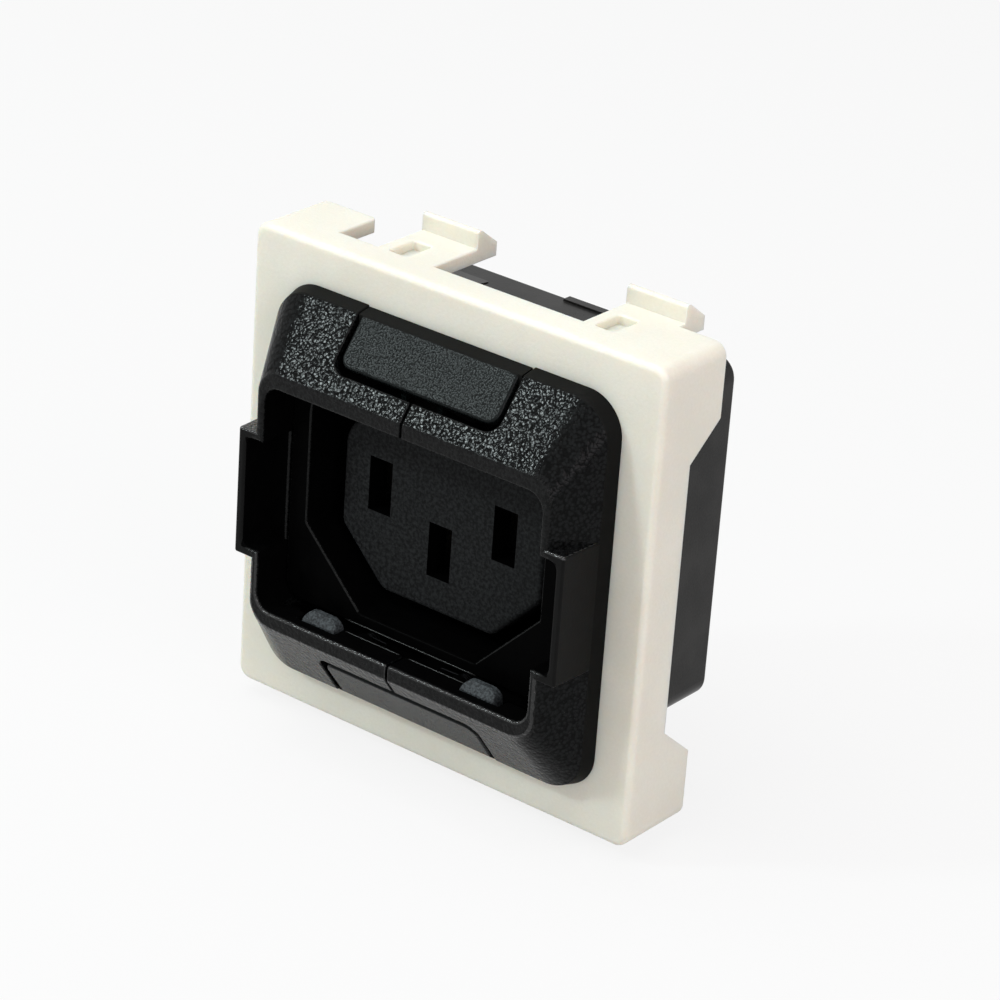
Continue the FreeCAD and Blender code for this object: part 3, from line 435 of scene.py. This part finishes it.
# Latches
# Four rocking latches behind the collar's lips, moulded in a filled plastic and turning on pins. Their
# teeth stand into the opening, rough, grey and dry. Their arms are the same grey moulding, coloured plain
# black here as painted shade where they stay in the dark behind the lips.

CORNERS = ("top_right", "top_left", "bottom_right", "bottom_left")
GREY_DARK = (0.010, 0.012, 0.0135)
GREY_LIGHT = (0.058, 0.068, 0.073)
GRIT = 4.6                   # grains to a millimetre
GRIT_DEPTH = 0.07
ARM_FRONT = -3.5             # behind this y lies the arm

grey = Finish("latch_grey", specular=0.3)
grit = grey.noise(GRIT, detail=3.0, roughness=0.65)
grey.tone(grit.ease(0.38, 0.64), GREY_DARK, GREY_LIGHT)
grey.shown(Roughness=0.6 + 0.25 * grit)
grey.relief(grit, GRIT_DEPTH)


def latch_zone(x, y, z):
    """Number of the finish on a latch: 0 grey tooth in front of the lip's back edge, 1 dark arm behind it."""
    return (y > ARM_FRONT).astype(int)


# The arms take the plain black as painted shade.
for corner in CORNERS:
    zone(cad_nodes["latch_" + corner], (grey, plain), latch_zone)


# Screws, pins and springs
# The screws that hold the rear cover are turned and plated steel. The pins that the latches rock on are
# drawn steel, blackened and oiled, and so is the wire of the torsion springs wound round them. Their colour
# is darker still, as painted shade where they lie in the dark behind the lips.

STEEL_RUBS = 4.0             # rubbed spots to a millimetre
STEEL_DEPTH = 0.004
STEEL_DARK = (0.42, 0.42, 0.41)
STEEL_LIGHT = (0.58, 0.58, 0.57)

steel = Finish("plated_steel")
rubs = steel.noise(STEEL_RUBS, detail=3.0)
steel.tone(rubs, STEEL_DARK, STEEL_LIGHT)
steel.shown(Metallic=1.0, Roughness=0.22 + 0.25 * rubs)
steel.relief(rubs, STEEL_DEPTH)
dress(steel, "cover_screws")

OIL_SPOTS = 3.0              # spots of oil to a millimetre
OIL_DEPTH = 0.003
# Painted shade: near black, darker than blackened steel, for the pins and springs behind the lips.
OILED_PAINTED_SHADE_DARK = (0.003, 0.003, 0.0033)
OILED_PAINTED_SHADE_LIGHT = (0.008, 0.008, 0.0085)

oiled = Finish("oiled_steel_painted_shade")
oil = oiled.noise(OIL_SPOTS)
oiled.tone(oil, OILED_PAINTED_SHADE_DARK, OILED_PAINTED_SHADE_LIGHT)
oiled.shown(Metallic=1.0, Roughness=0.34 + 0.2 * oil, Specular_Tint=(0.1, 0.1, 0.1, 1))
oiled.relief(oil, OIL_DEPTH)
dress(oiled, "latch_pins")

PIVOT = (5.4, 12.0)          # the pin's x and z
COIL_RADIUS = 0.74
COIL_ENDS = (-2.10, -1.317)  # y of the coil's front and back
TURNS = 3
TURN_POINTS = 24
WIRE_RADIUS = 0.11
WIRE_SIDES = 10
FOOT = (-2.386, -3.33)       # x from the pin and y of the tip that lies in the latch's arm
FOOT_BEND = 0.25             # radius of the bend behind the foot
BEND_POINTS = 8
LEG_LEAD = 0.13              # the leg lies this far in front of the coil
REST_END = (2.8, -1.16)      # x from the pin and y of the end that rests on the housing


def wire_line():
    """Middle line of a spring and the direction outwards at each point: the foot runs back along Y, turns
    through a quarter circle into the leg, the wire winds round the pin and runs out straight to its rest."""
    quarter = np.linspace(0, math.pi / 2, BEND_POINTS)
    bend_x = FOOT[0] + FOOT_BEND * (1 - np.cos(quarter))
    bend_y = COIL_ENDS[0] - LEG_LEAD - FOOT_BEND * (1 - np.sin(quarter))
    turn = np.linspace(0, TURNS * math.tau, TURNS * TURN_POINTS + 1)
    coil_y = COIL_ENDS[0] + (COIL_ENDS[1] - COIL_ENDS[0]) * turn / turn[-1]
    x = np.concatenate([[FOOT[0]], bend_x, COIL_RADIUS * np.sin(turn), [REST_END[0]]])
    y = np.concatenate([[FOOT[1]], bend_y, coil_y, [REST_END[1]]])
    lean = np.concatenate([np.zeros(1 + BEND_POINTS), turn, [turn[-1]]])
    z = -COIL_RADIUS * np.cos(lean)
    outward = np.stack([np.sin(lean), np.zeros_like(lean), -np.cos(lean)], axis=-1)
    return np.stack([x, y, z], axis=-1), outward


def spring_wire(corner):
    """Torsion spring: a circle carried along the wire's line, across the outward direction and its own third
    direction, then mirrored into its corner. The circle runs the other way round where one mirror is used."""
    sign_x = 1 if "right" in corner else -1
    sign_z = 1 if "top" in corner else -1
    line, outward = wire_line()
    ahead = np.gradient(line, axis=0)
    across = np.cross(ahead / np.linalg.norm(ahead, axis=1)[:, None], outward)
    angle = np.arange(WIRE_SIDES) * math.tau / WIRE_SIDES * sign_x * sign_z
    ring = np.cos(angle)[:, None] * outward[:, None] + np.sin(angle)[:, None] * across[:, None]
    rings = line[:, None] + WIRE_RADIUS * ring + (PIVOT[0], 0, PIVOT[1])
    made = tube("spring_wire_" + corner, rings * (sign_x, 1, sign_z), oiled)
    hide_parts("latch_spring_" + corner)
    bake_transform(made)


for corner in CORNERS:
    spring_wire(corner)


# Housing and rear cover
# The black rear box with the tube round the plug, moulded in one, and the cover screwed on behind it. The
# outside is satin with a faint flow haze. Round the plug and under the collar it is smooth and coloured
# darker, as painted shade, with finely grained front edges.

SHELL_DARK = (0.010, 0.010, 0.0096)
SHELL_LIGHT = (0.024, 0.024, 0.0230)
SHELL_FLOW = 0.18            # flow marks to a millimetre
SHELL_GRAIN = 5.0            # grains to a millimetre
SHELL_DEPTH = 0.007
TUBE_HALF = (15.35, 10.65)   # half width and half height of the tube, just outside its walls
TUBE_EDGE = (-2.195, -1.99)  # y of the rounding of its front edge
TUBE_EDGE_LOW = -9.3         # below this the front edge stays dark
FLANGE_FRONT = 0.1           # in front of this y the collar covers the housing
FLANGE_HALF = 18.0
TUBE_LINE = (-2.2, -10.55)   # y and z of the tube's lower front edge
TUBE_LINE_ENDS = (-8.2, 6.9)

shell = Finish("housing_black", specular=0.11)
flow = shell.noise(SHELL_FLOW, detail=3.0)
shell_grain = shell.noise(SHELL_GRAIN)
shell_mottle = 0.7 * flow + 0.3 * shell_grain
shell.tone(shell_mottle.ease(0.34, 0.66), SHELL_DARK, SHELL_LIGHT)
shell.shown(Roughness=0.22 + 0.10 * flow + 0.06 * shell_grain)
shell.relief(shell_grain, SHELL_DEPTH)


def housing_zone(x, y, z):
    """Number of the finish on the housing: 0 satin outside, 1 plain under the collar and round the plug,
    2 the tube's front edges at the sides and the top."""
    inside = (abs(x) < TUBE_HALF[0]) & (abs(z) < TUBE_HALF[1])
    covered = (abs(x) < FLANGE_HALF) & (y < FLANGE_FRONT)
    edge = inside & within(y, TUBE_EDGE) & (z > TUBE_EDGE_LOW)
    return np.select([edge, inside | covered], [2, 1], 0)


zone(cad_nodes["socket_housing"], (shell, plain, edging), housing_zone)
dress(shell, "rear_cover")
moulded_line("tube_line", TUBE_LINE_ENDS, TUBE_LINE)


# Outlet block
# The keyed block that the plug slides over, seated in the housing's tube. It is moulded in a matte, mineral
# filled black that scatters light evenly, so its face reads dark grey between the shiny walls.

BLOCK_DARK = (0.0022, 0.0025, 0.0027)
BLOCK_LIGHT = (0.0170, 0.0182, 0.0188)
BLOCK_GRAIN = 3.0            # grains to a millimetre
BLOCK_DEPTH = 0.06
BLOCK_FACE = 0.31            # behind this y a face lies inside a slot or a chamber
POLE_X = 7.0                 # sideways distance of the two outer slots from the middle
POLE_Z = 2.0                 # the outer slots sit this high, the earth slot this low
SLOT_HALF = (1.3, 2.6)       # half width and half height

block = Finish("core_black", specular=0.12)
block_grain = block.noise(BLOCK_GRAIN, detail=4.0, roughness=0.65)
block.tone(block_grain.ease(0.36, 0.66), BLOCK_DARK, BLOCK_LIGHT)
block.shown(Roughness=0.62 + 0.25 * block_grain)
block.relief(block_grain, BLOCK_DEPTH)


def block_zone(x, y, z):
    """Number of the finish on the block: 0 matte outside, 1 plain in the slots and chambers."""
    outer = (abs(abs(x) - POLE_X) < SLOT_HALF[0]) & (abs(z - POLE_Z) < SLOT_HALF[1])
    earth = (abs(x) < SLOT_HALF[0]) & (abs(z + POLE_Z) < SLOT_HALF[1])
    return ((outer | earth) & (y > BLOCK_FACE)).astype(int)


# The slots and chambers take the plain black, darker than the block, as painted shade.
zone(cad_nodes["socket_core"], (block, plain), block_zone)


# Contacts
# Three folded brass strips in the block's chambers, with push-on tabs that stand out through the rear
# cover. The strip is rolled with a faint lengthwise grain and dulled by handling.

BRASS_DULL = (0.60, 0.43, 0.17)
BRASS_BRIGHT = (0.72, 0.55, 0.26)
BRASS_CLOUDS = 0.5               # dull clouds to a millimetre
ROLLED_GRAIN = (6.0, 0.4, 6.0)   # lines to a millimetre across, along and across the strip
ROLLED_DEPTH = 0.004

brass = Finish("rolled_brass")
rolled = brass.node("Mapping", {}, {"Vector": brass.place, "Scale": ROLLED_GRAIN})
lines = brass.noise(1.0, detail=3.0, roughness=0.6, where=rolled)
dull = brass.noise(BRASS_CLOUDS, detail=3.0)
brass.tone(dull, BRASS_DULL, BRASS_BRIGHT)
brass.shown(Metallic=1.0, Roughness=0.22 + 0.2 * dull + 0.1 * lines)
brass.relief(lines, ROLLED_DEPTH)
dress(brass, "contact_left", "contact_right", "contact_earth")


# Floor and light
# A pale studio floor under the lower hooks and a white surround. A broad lamp hangs overhead, a small one
# at the front left draws the highlights in the grain, and soft ones fill from the front and the right.

FLOOR_HALF = 0.6
FLOOR_GREY = 0.64
FLOOR_WHITE = 0.85           # share of white that the camera sees over the floor's own colour and shadow
SKY_LIGHT = 0.28             # strength of the surround as a light, which the camera sees as 1


def looked_at(nodes):
    """1 on a ray that comes straight from the camera, a shiny surface or a clear one, else 0."""
    rays = ("Is Camera Ray", "Is Glossy Ray", "Is Transmission Ray")
    camera_ray, glossy_ray, clear_ray = [nodes.node("LightPath", {}, {}, ray) for ray in rays]
    return camera_ray.most(glossy_ray).most(clear_ray)


def lamp(name, place, size, watts, colour):
    """Square area lamp that points at the middle of the plate."""
    data = bpy.data.lights.new(name, "AREA")
    data.size = size
    data.energy = watts
    data.color = colour
    made = bpy.data.objects.new(name, data)
    made.location = place
    made.rotation_mode = "QUATERNION"
    made.rotation_quaternion = (-Vector(place)).to_track_quat("-Z", "Y")
    bpy.context.scene.collection.objects.link(made)


floor_signs = [(-1, -1), (1, -1), (1, 1), (-1, 1)]
floor_points = [(x * FLOOR_HALF, y * FLOOR_HALF, cad_low.z) for x, y in floor_signs]
ground = bpy.data.meshes.new("floor")
ground.from_pydata(floor_points, [], [(0, 1, 2, 3)])
floor = bpy.data.objects.new("floor", ground)
bpy.context.scene.collection.objects.link(floor)

paper = Finish("floor_paper", specular=0.0)
paper.shown(Base_Color=(FLOOR_GREY, FLOOR_GREY, FLOOR_GREY, 1), Roughness=0.9)
lit = Value(paper, paper.shader.outputs["BSDF"])
white = paper.node("Emission", {}, {"Color": (1, 1, 1, 1), "Strength": 1.0})
surface = paper.node("MixShader", {}, {0: FLOOR_WHITE * looked_at(paper), 1: lit, 2: white})
paper.feed(paper.tree.nodes["Material Output"].inputs["Surface"], surface)
ground.materials.append(paper.material)

world = bpy.data.worlds.new("studio")
world.use_nodes = True
bpy.context.scene.world = world
sky = Nodes(world.node_tree)
surround = sky.tree.nodes["Background"]
sky.feed(surround.inputs["Color"], (1, 1, 1, 1))
sky.feed(surround.inputs["Strength"], SKY_LIGHT + (1 - SKY_LIGHT) * looked_at(sky))

lamp("overhead", (-0.10, -0.10, 0.55), size=0.5, watts=2.5, colour=(1, 1, 1))
lamp("front_left", (-0.273, -0.304, 0.289), size=0.055, watts=0.88, colour=(0.88, 1, 1))
lamp("front_fill", (0.16, -0.65, 0.16), size=0.6, watts=0.5, colour=(1, 1, 1))
lamp("side_right", (0.50, -0.14, 0.22), size=0.4, watts=1.5, colour=(1, 0.91, 0.94))


# Camera
# The photo's own view: from the right and above, turned a little about its axis, with a long lens.

AZIMUTH = math.radians(37.20)
ELEVATION = math.radians(25.07)
ROLL = math.radians(4.095)
CAMERA_PLACE = (0.18466, -0.23479, 0.14330)
SENSOR_MM = 36.0
LENS_MM = 137.54
CLIP_START = 0.01

level_right = Vector((math.cos(AZIMUTH), math.sin(AZIMUTH), 0))
level_back = Vector((math.sin(AZIMUTH), -math.cos(AZIMUTH), 0))
back = math.cos(ELEVATION) * level_back + math.sin(ELEVATION) * Vector((0, 0, 1))
level_up = back.cross(level_right)
right = math.cos(ROLL) * level_right + math.sin(ROLL) * level_up
up = math.cos(ROLL) * level_up - math.sin(ROLL) * level_right
camera_data = bpy.data.cameras.new("camera")
camera_data.sensor_width = SENSOR_MM
camera_data.lens = LENS_MM
camera_data.clip_start = CLIP_START
camera = bpy.data.objects.new("camera", camera_data)
camera.matrix_world = Matrix((right, up, back)).transposed().to_4x4()
camera.location = CAMERA_PLACE
bpy.context.scene.collection.objects.link(camera)
bpy.context.scene.camera = camera
bpy.context.scene.view_settings.view_transform = "Standard"
